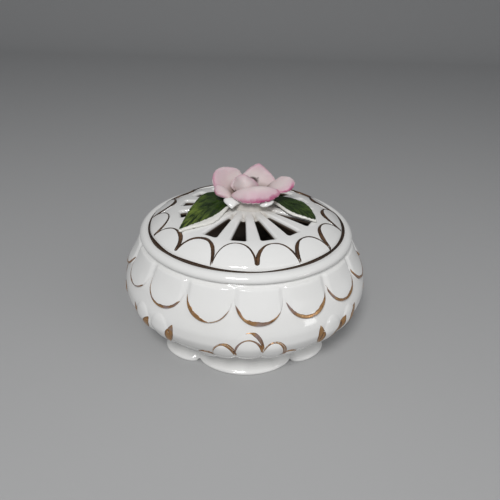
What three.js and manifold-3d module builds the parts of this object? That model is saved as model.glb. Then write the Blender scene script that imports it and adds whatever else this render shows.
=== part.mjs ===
// Openwork porcelain jewellery box: a low bulging bowl on a scalloped foot, and a loose lid with
// pierced windows, topped by a hand-built rose with two leaves.
// Millimetres, +Z up. The origin is the centre of the foot's resting plane, and the front faces -Y.
// Angles round the box are in degrees from the front, positive towards +X.

import * as THREE from 'three';
import { mergeVertices } from 'three/addons/utils/BufferGeometryUtils.js';
import Module from 'manifold-3d';

const wasm = await Module();
wasm.setup();

const bowlSegments = 112;
const lidSegments = 90;
const clearance = 0.3;

// Bowl: outer radius by height, and its walls
const bowlProfile = [
  [8.3, 43.6], [10, 47.2], [13, 51.5], [20, 56.9], [24, 58.2], [27, 58.1], [34, 55.8], [41, 52], [48, 48.5],
];
const bowlBottom = 8.3;
const bowlRim = 48;
const bowlWall = 3.2;
const bowlFloor = 11.8;
const mouthRadius = 44;

// Scallop pads that hang from the bowl's neck
const padCount = 16;
const padPhase = 7;
const padHalfWidth = 10.6;
const padTop = 45.6;
const padCusp = 42.6;
const padTip = 33.4;
const padRelief = 1.1;

// Relief petals of the lower bowl: a lotus above each wide lobe of the foot, and two gadroons above
// each small one. Each has its angle from the group's middle, height, half width, half length, relief.
const lotusPhase = 2.2;
const lotusPetals = [
  { offset: 0.4, height: 20, width: 6.1, length: 8.1, relief: 1.2 },
  { offset: -10.6, height: 18.5, width: 5.2, length: 6.8, relief: 1 },
  { offset: 10.6, height: 18.5, width: 5.2, length: 6.8, relief: 1 },
  { offset: -18.6, height: 14.5, width: 4.4, length: 4.3, relief: 0.8 },
  { offset: 18.6, height: 14.5, width: 4.4, length: 4.3, relief: 0.8 },
];
const gadroonPhase = 47.2;
const gadroons = [
  { offset: -7.2, height: 21.5, width: 6.8, length: 9, relief: 1.1 },
  { offset: 7.2, height: 21.5, width: 6.8, length: 9, relief: 1.1 },
];

// Foot: skirt with a wide lobe on each of its four sides and a small one between each two. Each lobe
// below has a like one half way round.
const footPhase = 1.7;
const footTop = bowlBottom - clearance;
const footTopRadius = 41.6;
const notchRadius = 43.4;
const notchLift = 1;
const footLobes = [
  { at: 0, radius: 48.5, halfWidth: 28.6, power: 0.85 },
  { at: 90, radius: 48.5, halfWidth: 33.8, power: 0.85 },
  { at: 42.4, radius: 48, halfWidth: 13.8, power: 0.5 },
  { at: -42.4, radius: 48, halfWidth: 13.8, power: 0.5 },
];
const footWall = 4;

// Lid: outer height by radius, from the middle to the groove inside the rim bead
const lidProfile = [
  [0, 61.2], [8, 61.1], [14, 60.6], [22, 59.7], [31, 58.5], [35.6, 57.5], [40, 55.5], [43, 53.5], [45.4, 51.5],
];
const lidWall = 2.9;
const lidSeat = bowlRim + clearance;
const grooveRadius = 45.4;
const beadProfile = [[46.6, 52.1], [48.1, 51.9], [49.3, 50.7], [49.6, 49.4], [48.7, lidSeat]];
const flangeRadius = 43.1;
const flangeWall = 2.3;
const flangeBottom = 42.6;

// Raised scallop panels of the lid, and the windows cut between its spokes
const panelCount = 15;
const panelPhase = -5.4;
const panelCrown = 35.6;
const panelRelief = 0.8;
const windowOuter = 30.8;
const windowInner = 14.6;
const windowWidth = 6.8;
const windowTip = 1.8;
const windowCorner = 1.2;

// Rose: the receptacle, and every petal as a sheet laid through three arcs, its root, its belly and
// its lip. Each arc goes through three points. Seen from the petal's inner side its root is below and
// each arc runs from left to right. Square says how square its outline is.
const receptacle = { x: 1.5, y: 0.5, bottom: 61.55, radius: 8.5, height: 5.6 };
const petalWall = 1.2;
const petals = [
  {
    name: 'petal_heart',
    square: 2.8,
    arcs: [
      [[-3.5, 0, 65], [-2.5, 1.5, 65], [-0.5, 3, 65]],
      [[-6.5, -1, 69.5], [-4.5, 2.5, 70], [-2, 3.5, 72]],
      [[-8, 0, 71], [-5.5, 3, 73], [-2, 4, 75]],
    ],
  },
  {
    name: 'petal_centre',
    square: 2.6,
    arcs: [
      [[4.5, -3, 65], [0.5, -4.5, 65], [-3, -2.5, 65]],
      [[5.5, -1, 69.5], [0.5, -5, 73], [-5, -1, 70]],
      [[6, 1, 72], [-0.5, -1.5, 77], [-4.5, 1, 73.5]],
    ],
  },
  {
    name: 'petal_back',
    square: 1.7,
    arcs: [
      [[-0.5, 4, 65], [3, 4.5, 65], [7, 4, 65]],
      [[-3.5, 6.5, 71], [5, 8.5, 71.5], [15, 5.5, 69.5]],
      [[-3, 9, 76], [5, 11, 77.8], [11.5, 9, 75.5]],
    ],
  },
  {
    name: 'petal_upper_left',
    square: 3.5,
    arcs: [
      [[-5, -1.5, 65], [-3.5, 1, 65], [-1.5, 3.5, 65.5]],
      [[-12, -3, 68.5], [-9.5, 3.5, 71.5], [-2, 6.5, 72]],
      [[-15, -3, 70], [-14, 4, 76.5], [-3.5, 8, 76]],
    ],
  },
  {
    name: 'petal_small_left',
    square: 3.2,
    arcs: [
      [[-4.5, -4.5, 65], [-5.5, -2.5, 65], [-6, -0.5, 65]],
      [[-9, -6.5, 67], [-10, -4, 69], [-11.5, -1, 70.5]],
      [[-13.5, -6.5, 67], [-15, -4, 69], [-15.5, -1, 70.5]],
    ],
  },
  {
    name: 'petal_right',
    square: 3.4,
    arcs: [
      [[7, 3, 65.5], [6, 0, 65.5], [6.5, -3, 65.5]],
      [[14, 3, 73.5], [13.5, -1, 71.5], [14, -5.5, 69.5]],
      [[21, 1, 75], [21.5, -2, 73], [19.5, -6, 69.5]],
    ],
  },
  {
    name: 'petal_front',
    square: 5,
    arcs: [
      [[8.5, -4, 65], [3, -4.5, 65], [-3.5, -4.5, 65]],
      [[14.5, -3.5, 70], [3.5, -6, 72], [-7, -5, 68]],
      [[14.5, -7.5, 67], [3.5, -11, 66.5], [-6, -8.5, 66]],
    ],
  },
];

// Sepals under the rose and the two leaves, each laid like a petal
const sepalWall = 1.5;
const sepals = [
  {
    name: 'sepal_front_left',
    square: 2,
    arcs: [
      [[-2, -3, 64.5], [-4.5, -3, 65], [-7, -2, 65.2]],
      [[-3, -6.5, 64.5], [-7, -7.5, 66], [-10.5, -6, 65.5]],
      [[-4.5, -9.5, 63.5], [-6.5, -10.5, 63.5], [-8, -9.5, 63.5]],
    ],
  },
  {
    name: 'sepal_front_right',
    square: 3,
    arcs: [
      [[8.5, -2.5, 64.5], [6.5, -3.5, 65], [4, -4, 65]],
      [[12, -6.5, 66], [8.5, -8, 65.5], [4.5, -7, 65]],
      [[11.5, -8.5, 65], [8.5, -10, 64.5], [6, -9, 64]],
    ],
  },
  {
    name: 'sepal_back',
    square: 2.2,
    arcs: [
      [[-2, 7, 63.5], [1, 7.5, 64], [4, 7, 63.5]],
      [[-2.5, 10.5, 64.5], [1, 11.5, 65.5], [4.5, 10.5, 64.5]],
      [[-1, 14, 63.5], [1, 15, 63.8], [3, 14, 63.5]],
    ],
  },
];
const leafWall = 1.9;
const leaves = [
  {
    name: 'leaf_left',
    square: 1.7,
    arcs: [
      [[-7.5, -5.5, 62], [-7, -1.5, 64], [-11.5, 2.5, 65.5]],
      [[-16, -16, 60.5], [-19.5, -6, 62], [-23, 3, 64]],
      [[-25, -24, 59], [-28, -22.5, 58.5], [-28.5, -18, 59.5]],
    ],
  },
  {
    name: 'leaf_right',
    square: 1.7,
    arcs: [
      [[10.5, -1, 62.3], [9.5, 2.5, 64], [13.5, 4.5, 65.5]],
      [[19.5, -8, 61], [23.5, -1, 61.5], [26.5, 4, 63]],
      [[28, -14, 59.5], [31.5, -12, 59], [32.5, -5.5, 60]],
    ],
  },
];

const porcelain = { color: 0xf4f3f0, roughness: 0.18, metalness: 0 };
const rosePink = { color: 0xe6c3ca, roughness: 0.45, metalness: 0 };
const leafGreen = { color: 0x2c4a1b, roughness: 0.25, metalness: 0 };

const box = new THREE.Group();

function radians(degrees) {
  return THREE.MathUtils.degToRad(degrees);
}

function around(angle, radius, height) {
  return new THREE.Vector3(radius * Math.sin(radians(angle)), -radius * Math.cos(radians(angle)), height);
}

// Angle from the nearest of some equally spaced centres, between minus and plus half a pitch
function fromCentre(angle, count, phase) {
  const pitch = 360 / count;
  const steps = (angle - phase) / pitch;
  return (steps - Math.round(steps)) * pitch;
}

// Smooth curve through a profile's points that never swings past them
function follow(profile, at) {
  const last = profile.length - 1;
  const slopes = profile.slice(1).map((point, i) => (point[1] - profile[i][1]) / (point[0] - profile[i][0]));
  const tangent = (i) => {
    if (i === 0) return slopes[0];
    if (i === last) return slopes[last - 1];
    const product = slopes[i - 1] * slopes[i];
    return product <= 0 ? 0 : (2 * product) / (slopes[i - 1] + slopes[i]);
  };
  const value = THREE.MathUtils.clamp(at, profile[0][0], profile[last][0]);
  let i = 0;
  while (i < last - 1 && value > profile[i + 1][0]) i += 1;
  const span = profile[i + 1][0] - profile[i][0];
  const t = (value - profile[i][0]) / span;
  const rise = profile[i + 1][1] - profile[i][1];
  const start = tangent(i) * span;
  const end = tangent(i + 1) * span;
  return profile[i][1] + start * t + (3 * rise - 2 * start - end) * t * t + (start + end - 2 * rise) * t ** 3;
}

// Closed mesh turned about the axis: each row gives its radius and height at any angle
function turned(rows, segments) {
  const profile = rows.map((row) => new THREE.Vector2(...row(0)));
  const geometry = new THREE.LatheGeometry(profile, segments);
  const position = geometry.getAttribute('position');
  for (let i = 0; i <= segments; i += 1) {
    const angle = 360 * (i % segments) / segments;
    rows.forEach((row, j) => {
      const [radius, height] = row(angle);
      const point = around(angle, radius, height);
      position.setXYZ(i * rows.length + j, point.x, point.y, point.z);
    });
  }
  return closed(geometry);
}

function closed(geometry) {
  geometry.deleteAttribute('normal');
  geometry.deleteAttribute('uv');
  return mergeVertices(geometry, 1e-4);
}

function solid(geometry) {
  const vertProperties = new Float32Array(geometry.getAttribute('position').array);
  const triVerts = new Uint32Array(geometry.getIndex().array);
  return new wasm.Manifold(new wasm.Mesh({ numProp: 3, vertProperties, triVerts }));
}

// The largest piece of a solid, as a geometry
function largest(whole) {
  const pieces = whole.decompose().sort((a, b) => b.volume() - a.volume());
  const mesh = pieces[0].getMesh();
  const geometry = new THREE.BufferGeometry();
  geometry.setAttribute('position', new THREE.BufferAttribute(mesh.vertProperties, 3));
  geometry.setIndex(new THREE.BufferAttribute(mesh.triVerts, 1));
  return geometry;
}

function addPart(name, geometry, finish) {
  const mesh = new THREE.Mesh(geometry, new THREE.MeshStandardMaterial(finish));
  mesh.name = name;
  box.add(mesh);
}

// Bowl

function padEdge(angle) {
  const across = Math.min(Math.abs(fromCentre(angle, padCount, padPhase)) / padHalfWidth, 1);
  return padCusp - (padCusp - padTip) * Math.sqrt(1 - across * across);
}

function padHeightAt(angle, down) {
  const across = Math.min(Math.abs(fromCentre(angle, padCount, padPhase)) / padHalfWidth, 1);
  return padRelief * (1 - across ** 4) * Math.min(down * 3, 1);
}

// Height of the relief petals over the bowl's wall: each is a low oval dome, and the highest wins
function petalRelief(angle, height) {
  const radius = follow(bowlProfile, height);
  let highest = 0;
  const raise = (phase) => (spec) => {
    const across = radians(fromCentre(angle, 4, phase + spec.offset)) * radius / spec.width;
    const up = (height - spec.height) / spec.length;
    highest = Math.max(highest, spec.relief * Math.sqrt(Math.max(1 - across ** 2 - up ** 2, 0)));
  };
  lotusPetals.forEach(raise(lotusPhase));
  gadroons.forEach(raise(gadroonPhase));
  return highest;
}

function bowlRow(height, relief = 0) {
  return [follow(bowlProfile, height) + relief, height];
}

// A row of the lower bowl, whose relief stands out square to the sloping wall
function reliefRow(height) {
  const slope = (follow(bowlProfile, height + 1) - follow(bowlProfile, height - 1)) / 2;
  const steep = Math.hypot(1, slope);
  return (angle) => {
    const relief = petalRelief(angle, height);
    return [follow(bowlProfile, height) + relief / steep, height - relief * slope / steep];
  };
}

function bowlRows() {
  const padRows = 4;
  const lowerRows = 3;
  const padStep = 0.9;
  const belly = 30.6;
  const rows = [() => [0, bowlBottom], () => [bowlProfile[0][1], bowlBottom]];
  [10.5, 13, 15.5, 18, 20.5, 23, 25.5, 28].forEach((height) => rows.push(reliefRow(height)));
  for (let k = 0; k <= lowerRows; k += 1) {
    rows.push((angle) => bowlRow(THREE.MathUtils.lerp(belly, padEdge(angle) - padStep, k / lowerRows)));
  }
  for (let k = 0; k <= padRows; k += 1) {
    const up = k / padRows;
    rows.push((angle) => bowlRow(THREE.MathUtils.lerp(padEdge(angle), padTop, up), padHeightAt(angle, 1 - up)));
  }
  rows.push(() => [follow(bowlProfile, bowlRim) - 0.2, bowlRim]);
  rows.push(() => [mouthRadius + 0.4, bowlRim]);
  rows.push(() => [mouthRadius, bowlRim - 1]);
  rows.push(() => [mouthRadius, 43.6]);
  [36, 26, 18].forEach((height) => rows.push(() => [follow(bowlProfile, height) - bowlWall, height]));
  rows.push(() => [46, 13.2]);
  rows.push(() => [41.5, bowlFloor]);
  rows.push(() => [0, bowlFloor]);
  return rows;
}

addPart('bowl', turned(bowlRows(), bowlSegments), porcelain);

// Foot

function lobeAt(angle) {
  let best = { full: 0, radius: notchRadius };
  footLobes.forEach((lobe) => {
    const across = fromCentre(angle, 2, footPhase + lobe.at) / lobe.halfWidth;
    const full = Math.max(1 - across ** 2, 0) ** lobe.power;
    if (full > best.full) best = { full, radius: notchRadius + (lobe.radius - notchRadius) * full };
  });
  return best;
}

function footRow(radiusPart, radiusInset, height) {
  return (angle) => {
    const lobe = lobeAt(angle);
    const lift = notchLift * Math.max(1 - 3 * lobe.full, 0);
    const radius = THREE.MathUtils.lerp(footTopRadius, lobe.radius, radiusPart) - radiusInset;
    return [radius, height + lift * (1 - height / footTop)];
  };
}

const footRows = [
  footRow(1, footWall, 0),
  footRow(1, 0.6, 0),
  footRow(1, 0, 0.9),
  footRow(0.86, 0, 2.6),
  footRow(0.45, 0, 5),
  footRow(0, 0, footTop),
  footRow(0, footWall, footTop),
  footRow(0.5, footWall, 3.6),
  footRow(1, footWall, 0),
];
addPart('foot', turned(footRows, bowlSegments), porcelain);

// Lid

function panelEdge(angle) {
  const across = Math.abs(fromCentre(angle, panelCount, panelPhase)) / (180 / panelCount);
  const cusp = grooveRadius - 0.9;
  return cusp - (cusp - panelCrown) * Math.sqrt(1 - Math.min(across, 1) ** 2);
}

function lidRow(radius, relief = 0) {
  return [radius, follow(lidProfile, radius) + relief];
}

function lidRows() {
  const panelRows = 3;
  const panelStep = 0.9;
  const webEdge = windowOuter + 1.2;
  const rows = [() => [0, lidProfile[0][1] - lidWall]];
  [14, 30, 38].forEach((radius) => rows.push(() => [radius, follow(lidProfile, radius) - lidWall]));
  rows.push(() => [flangeRadius - flangeWall, 50.2]);
  rows.push(() => [flangeRadius - flangeWall, flangeBottom]);
  rows.push(() => [flangeRadius - 0.2, flangeBottom]);
  rows.push(() => [flangeRadius, lidSeat]);
  beadProfile.slice().reverse().forEach((point) => rows.push(() => point));
  rows.push(() => lidRow(grooveRadius));
  for (let k = 0; k <= panelRows; k += 1) {
    const inward = (k + 1) / (panelRows + 1);
    const rounded = panelRelief * Math.min(inward * 2, 1);
    rows.push((angle) => lidRow(THREE.MathUtils.lerp(grooveRadius, panelEdge(angle), inward), rounded));
  }
  rows.push((angle) => lidRow(panelEdge(angle) - panelStep));
  rows.push((angle) => lidRow((panelEdge(angle) - panelStep + webEdge) / 2));
  [webEdge, 20].forEach((radius) => rows.push(() => lidRow(radius)));
  rows.push(() => [0, lidProfile[0][1]]);
  return rows;
}

// Cutter for one window: a tapered slot with rounded outer corners, pointing outwards along +X
function windowCutter() {
  const half = windowWidth / 2;
  const corner = windowCorner;
  const shape = new THREE.Shape();
  shape.moveTo(windowInner, -windowTip / 2);
  shape.lineTo(windowOuter - corner, -half);
  shape.quadraticCurveTo(windowOuter, -half, windowOuter + 0.1, -half + corner);
  shape.lineTo(windowOuter + 0.1, half - corner);
  shape.quadraticCurveTo(windowOuter, half, windowOuter - corner, half);
  shape.lineTo(windowInner, windowTip / 2);
  shape.closePath();
  const depth = 20;
  const geometry = new THREE.ExtrudeGeometry(shape, { depth, bevelEnabled: false, curveSegments: 3 });
  geometry.translate(0, 0, lidProfile[0][1] - depth + 4);
  return closed(geometry);
}

function piercedLid() {
  let lid = solid(turned(lidRows(), lidSegments));
  for (let k = 0; k < panelCount; k += 1) {
    const cutter = windowCutter();
    cutter.rotateZ(radians(panelPhase + (360 * k) / panelCount - 90));
    lid = lid.subtract(solid(cutter));
  }
  return largest(lid);
}

addPart('lid', piercedLid(), porcelain);

// Rose and leaves

// Weights of a smooth curve through three points at 0, 0.5 and 1
function throughThree(t) {
  return [2 * (t - 0.5) * (t - 1), 4 * t * (1 - t), 2 * t * (t - 0.5)];
}

// A point of the sheet laid through three arcs: across runs from -1 to 1, along from 0 to 1
function onSheet(arcs, across, along) {
  const byArc = throughThree(along);
  const byPoint = throughThree((across + 1) / 2);
  const point = new THREE.Vector3();
  arcs.forEach((arc, i) => arc.forEach((place, j) => {
    point.addScaledVector(new THREE.Vector3(...place), byArc[i] * byPoint[j]);
  }));
  return point;
}

// Outlines in a sheet's own across and along, from the root's left corner over the tip and back
function petalRim(square) {
  const rootHalf = 0.82;
  const shoulder = 0.42;
  const rim = [[-rootHalf, 0], [-0.93, shoulder / 2]];
  const steps = 12;
  for (let i = 0; i <= steps; i += 1) {
    const turn = (Math.PI * i) / steps;
    const across = -Math.sign(Math.cos(turn)) * Math.abs(Math.cos(turn)) ** (2 / square);
    rim.push([across, shoulder + (1 - shoulder) * Math.sin(turn) ** (2 / square)]);
  }
  rim.push([0.93, shoulder / 2], [rootHalf, 0], [0, 0]);
  return rim;
}

function leafRim(square) {
  const steps = 8;
  const halfAt = (along) => Math.sin(Math.PI * (0.13 + 0.87 * along) ** 0.95) ** (1 / square);
  const side = Array.from({ length: steps }, (unused, i) => i / steps);
  const left = side.map((along) => [-halfAt(along), along]);
  const right = side.map((along) => [halfAt(along), along]).reverse();
  return [...left, [0, 1], ...right];
}

// A closed sheet with its wall laid half on each side: two rings round a hub on either face, joined at
// the rim. Spare thickens and widens it on every side for use as a cutter.
function sheet(spec, wall, rimOf, spare = 0) {
  const hub = [0, 0.48];
  const ringParts = [0.55, 1];
  const rimThinning = 0.65;
  const rim = rimOf(spec.square);
  const count = rim.length;
  const at = (across, along) => onSheet(spec.arcs, across, along);
  const normalAt = (across, along) => {
    const probe = 0.02;
    const byAcross = at(across + probe, along).sub(at(across - probe, along));
    const byAlong = at(across, along + probe).sub(at(across, along - probe));
    return byAcross.cross(byAlong).normalize();
  };
  const face = (facing) => {
    const points = [at(...hub).addScaledVector(normalAt(...hub), facing * (wall / 2 + spare))];
    ringParts.forEach((part) => rim.forEach(([across, along]) => {
      const flat = [hub[0] + part * (across - hub[0]), hub[1] + part * (along - hub[1])];
      const outward = part < 1 ? null : at(...flat).sub(at(0.9 * across, hub[1] + 0.9 * (along - hub[1])));
      const thick = (wall / 2) * (part === 1 ? rimThinning : 1) + spare;
      const point = at(...flat).addScaledVector(normalAt(...flat), facing * thick);
      points.push(outward ? point.addScaledVector(outward.normalize(), 1.3 * spare) : point);
    }));
    return points;
  };
  const points = [...face(1), ...face(-1)];
  const back = points.length / 2;
  const index = [];
  for (let j = 0; j < count; j += 1) {
    const here = 1 + j;
    const beside = 1 + (j + 1) % count;
    index.push(0, beside, here);
    index.push(here, beside, beside + count, here, beside + count, here + count);
    index.push(back, back + here, back + beside);
    index.push(back + here, back + here + count, back + beside + count);
    index.push(back + here, back + beside + count, back + beside);
    index.push(here + count, beside + count, back + beside + count);
    index.push(here + count, back + beside + count, back + here + count);
  }
  const geometry = new THREE.BufferGeometry();
  geometry.setAttribute('position', new THREE.Float32BufferAttribute(points.flatMap((p) => p.toArray()), 3));
  geometry.setIndex(index);
  return geometry;
}

// A low dome on which the petals, sepals and leaves are seated
function receptacleDome(spare = 0) {
  const { x, y, bottom, radius, height } = receptacle;
  const profile = [new THREE.Vector2(0, bottom), new THREE.Vector2(radius + spare, bottom)];
  const steps = 5;
  for (let i = 1; i <= steps; i += 1) {
    const up = (Math.PI / 2) * (i / steps);
    const reach = i === steps ? 0 : (radius + spare) * Math.cos(up);
    profile.push(new THREE.Vector2(reach, bottom + (height + spare) * Math.sin(up)));
  }
  const geometry = closed(new THREE.LatheGeometry(profile, 20));
  geometry.rotateX(Math.PI / 2);
  geometry.translate(x, y, 0);
  return geometry;
}

addPart('rose_base', receptacleDome(), porcelain);

// Each later piece is cut back from those already seated, so that all of them touch without meeting
const raisedLid = turned(lidRows(), lidSegments);
raisedLid.translate(0, 0, clearance);
const seated = [solid(raisedLid), solid(receptacleDome(clearance))];

function seat(spec, wall, rimOf, finish) {
  let piece = solid(sheet(spec, wall, rimOf));
  seated.forEach((other) => {
    piece = piece.subtract(other);
  });
  addPart(spec.name, largest(piece), finish);
  seated.push(solid(sheet(spec, wall, rimOf, clearance)));
}

petals.forEach((spec) => seat(spec, petalWall, petalRim, rosePink));
sepals.forEach((spec) => seat(spec, sepalWall, petalRim, porcelain));
leaves.forEach((spec) => seat(spec, leafWall, leafRim, leafGreen));

export default box;
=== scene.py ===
import math

import bmesh
import bpy
import numpy as np
from mathutils import Matrix, Vector


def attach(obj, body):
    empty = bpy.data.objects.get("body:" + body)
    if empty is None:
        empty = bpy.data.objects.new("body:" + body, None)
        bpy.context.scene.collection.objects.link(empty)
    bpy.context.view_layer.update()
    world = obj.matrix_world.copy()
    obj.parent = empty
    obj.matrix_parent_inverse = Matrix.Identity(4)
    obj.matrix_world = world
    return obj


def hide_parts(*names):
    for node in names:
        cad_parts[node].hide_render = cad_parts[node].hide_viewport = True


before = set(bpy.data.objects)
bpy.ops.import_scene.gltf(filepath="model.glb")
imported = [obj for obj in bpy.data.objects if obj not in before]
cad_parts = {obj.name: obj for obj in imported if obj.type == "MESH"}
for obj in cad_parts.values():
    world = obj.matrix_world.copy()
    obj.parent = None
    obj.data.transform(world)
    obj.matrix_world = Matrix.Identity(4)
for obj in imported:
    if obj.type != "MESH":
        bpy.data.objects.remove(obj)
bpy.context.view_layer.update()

# Shapes are worked out in millimetres and degrees and scaled to metres when a mesh is made.
# Angles round the box start at the front, -Y, and grow towards +X.
MM = 0.001

# Bowl: outer radius by height, its walls, then its lip and the floor inside it as radius and height
BOWL_PROFILE = [
    (8.3, 43.6), (10, 47.2), (13, 51.5), (20, 56.9), (24, 58.2), (27, 58.1), (34, 55.8), (41, 52.0),
    (48, 48.5),
]
BOWL_BOTTOM = 8.3
BOWL_BELLY = 31.5
BOWL_RIM = 48.0
BOWL_WALL = 3.2
BOWL_FLOOR = 11.8
MOUTH_RADIUS = 44.0
MOUTH_BOTTOM = 43.8
BOWL_LIP = [(48.3, BOWL_RIM - 0.1), (47.8, BOWL_RIM), (45, BOWL_RIM), (44.3, 47.7), (MOUTH_RADIUS, 47)]
BOWL_WELL = [(49, 15), (46.4, 13.2), (43, 12.1), (40, BOWL_FLOOR), (25, BOWL_FLOOR), (8, BOWL_FLOOR)]
BOWL_COLUMNS = 768

# Scallop pads that hang from the neck
PAD_COUNT = 16
PAD_PHASE = 7.0
PAD_HALF_WIDTH = 10.4
PAD_CUSP = 42.6
PAD_TIP = 33.4
PAD_TOP = 45.6
PAD_RELIEF = 1.25
PAD_STEP = 0.6
PAD_OUTSET = 0.75

# Relief petals of the lower bowl: angle from the group's middle, height, half width, half length, relief
LOTUS_PHASE = 2.2
LOTUS = [
    (0.6, 21.6, 5.9, 9.0, 0.5),
    (0.4, 20.0, 5.8, 7.7, 1.05),
    (-9.8, 18.3, 4.8, 6.7, 1.0),
    (10.9, 18.9, 4.9, 7.0, 1.0),
    (-17.8, 14.0, 4.4, 4.2, 0.8),
    (18.4, 14.5, 4.4, 4.3, 0.8),
]
GADROON_PHASE = 47.2
GADROONS = [(-6.2, 21.5, 5.5, 9.0, 0.85), (5.4, 21.5, 5.5, 9.0, 0.85)]

# Gold strokes round the pads by number from the front. Each has its start and end round the pad, in
# degrees from its lowest point, and its widths along the way. Other pads get theirs by chance.
PAD_STROKES = {
    -3: [(-70, 50, (0.3, 0.8, 1.2, 0.7, 0.3))],
    -2: [(-84, 62, (0.4, 1.0, 1.3, 1.5, 1.1, 0.5))],
    -1: [(-86, 10, (0.2, 1.1, 1.9, 2.1, 1.5, 0.4)), (4, 64, (0.3, 0.5, 0.5, 0.15))],
    0: [(-77, 60, (0.3, 1.2, 1.0, 1.9, 2.1, 1.9, 1.3, 0.8, 0.2))],
    1: [(-78, 78, (0.3, 1.0, 1.5, 1.8, 2.2, 2.1, 1.6, 0.3))],
    2: [(-88, 70, (0.3, 0.7, 1.1, 1.5, 1.9, 1.5, 0.7))],
    3: [(-84, 70, (0.3, 0.8, 1.4, 1.6, 1.0, 0.4))],
}

# Gold strokes over the lotus petals, in the order of their table and with the same numbers
LOTUS_STROKES = [
    (-16, 84, (0.2, 0.5, 1.6, 1.6, 1.2, 0.9)),
    (-88, 84, (1.0, 0.8, 0.5, 0.6, 1.0, 1.2)),
    (-84, 88, (0.5, 0.6, 0.7, 1.5, 1.6, 1.2)),
    (-84, 106, (0.4, 0.5, 0.6, 1.1, 1.6, 2.0)),
    (-64, 60, (0.4, 0.9, 1.1, 0.9)),
    (-60, 64, (0.6, 0.9, 0.9, 0.5)),
]

# Filled darts beside the gadroons: angle from their middle, lowest and highest point, lean, half width.
# They are listed by quarter of the bowl, 0 for the front one on the right. Both at the back are alike.
DARTS = {
    0: [(-12.1, 16.5, 28.4, 2.3, 1.9), (-1.4, 15.0, 27.0, -7.5, 2.9), (8.4, 17.0, 28.4, -5.5, 3.1)],
    -1: [(-11.5, 16.5, 27.0, 4.0, 1.9), (-4.2, 16.5, 26.0, -5.5, 1.9), (10.6, 16.5, 28.2, -4.1, 1.9)],
}
BACK_DARTS = [(-11.5, 16.5, 28.0, 4.0, 1.9), (-0.4, 16.5, 26.0, 0, 1.7), (10.8, 16.5, 28.0, -4.0, 1.9)]

# Gold on the lid: where the ring swells, how far and by how much. Then each panel by number: how far in
# its crown comes, where its stroke ends on the left and on the right, and its widths along the way.
RING_SWELLS = [(-56, 9, 0.30), (-30, 14, 0.22), (34, 20, 0.30), (8, 8, -0.15)]
PANELS = {
    -3: (36.2, 44.6, 44.6, (0.5, 0.6, 0.5, 0.6, 0.9)),
    -2: (36.7, 44.6, 43.8, (0.5, 0.6, 0.7, 0.8, 1.3, 1.9, 1.8, 1.5, 1.1)),
    -1: (34.4, 43.8, 44.9, (0.9, 1.4, 1.7, 2.1, 2.2, 1.8, 1.7, 1.4, 0.4)),
    0: (34.0, 44.4, 43.7, (0.4, 0.45, 0.45, 0.6, 0.8, 0.9, 0.9, 1.0, 1.3)),
    1: (34.8, 43.7, 44.9, (1.9, 1.9, 1.5, 1.0, 0.9, 0.9, 0.9, 1.0, 0.4)),
    2: (35.9, 44.6, 45.2, (1.0, 1.6, 1.5, 1.0, 0.9, 0.8, 0.7, 0.7, 0.6)),
    3: (36.0, 45.2, 44.8, (1.3, 1.5, 1.3, 1.0, 0.7, 0.6, 0.6)),
}

# Foot: a wide lobe on each of its four sides and a small one between each two. Each lobe below, its
# angle, radius, half width and roundness, has a like one half way round. The flare is its straight part,
# its curved part and that part's power.
FOOT_PHASE = 1.7
FOOT_TOP = 8.0
FOOT_TOP_RADIUS = 41.6
FOOT_WALL = 4.0
FOOT_FLARE = (0.1, 0.82, 2.1)
FOOT_EDGE = 0.9
NOTCH_RADIUS = 43.4
NOTCH_LIFT = 1.0
FOOT_LOBES = [
    (0, 48.5, 28.6, 0.85),
    (90, 48.5, 33.8, 0.85),
    (42.4, 48.0, 13.8, 0.5),
    (-42.4, 48.0, 13.8, 0.5),
]
FOOT_COLUMNS = 480

# Lid: outer height by radius, from the middle to the groove inside the rim bead. The bead and the
# flange that drops into the bowl's mouth are given as radius and height.
LID_PROFILE = [
    (0, 61.2), (8, 61.1), (14, 60.6), (22, 59.7), (31, 58.5), (35.6, 57.5), (40, 55.5), (43, 53.5),
    (45.4, 51.5),
]
LID_WALL = 2.9
LID_SEAT = 48.3
GROOVE_RADIUS, GROOVE_HEIGHT = LID_PROFILE[-1]
BEAD_PROFILE = [
    (45.9, 51.6), (46.5, 51.9), (47.3, 52.05), (48.2, 51.9), (49.0, 51.4), (49.6, 50.75), (49.93, 50.1),
    (50.0, 49.5), (49.85, 48.95), (49.5, 48.5), (49.0, 48.25), (48.4, LID_SEAT),
]
FLANGE_RADIUS = 43.1
FLANGE_INNER = FLANGE_RADIUS - 2.3
FLANGE_BOTTOM = 42.6
FLANGE_OUTSIDE = [
    (44, LID_SEAT), (FLANGE_RADIUS, LID_SEAT - 0.1), (FLANGE_RADIUS, 46), (FLANGE_RADIUS - 0.1, 43.2),
    (FLANGE_RADIUS - 0.7, FLANGE_BOTTOM),
]
FLANGE_INSIDE = [
    (FLANGE_INNER + 0.5, FLANGE_BOTTOM), (FLANGE_INNER, 43.2), (FLANGE_INNER, 47),
    (FLANGE_INNER - 0.2, 49.6), (39.6, 51),
]
LID_COLUMNS = 720

# Raised scallop panels of the lid, the windows cut between its spokes, and the creases that run on from
# the windows towards the rose
PANEL_COUNT = 15
PANEL_PHASE = -5.4
PANEL_CROWN = 35.6
PANEL_CUSP = 44.6
PANEL_RELIEF = 0.75
PANEL_STEP = 0.8
WEB_INNER = 11.8
WEB_OUTER = 32.6
WINDOW_OUTER = 31.0
WINDOW_INNER = 13.5
WINDOW_WIDTH = 6.7
WINDOW_TIP = 1.9
WINDOW_CORNER = 1.0
WINDOW_ROUNDING = 1.1
INSIDE_ROUNDING = 0.8
CREASE_DEPTH = 1.4
CREASE_INNER = 9.0

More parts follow.
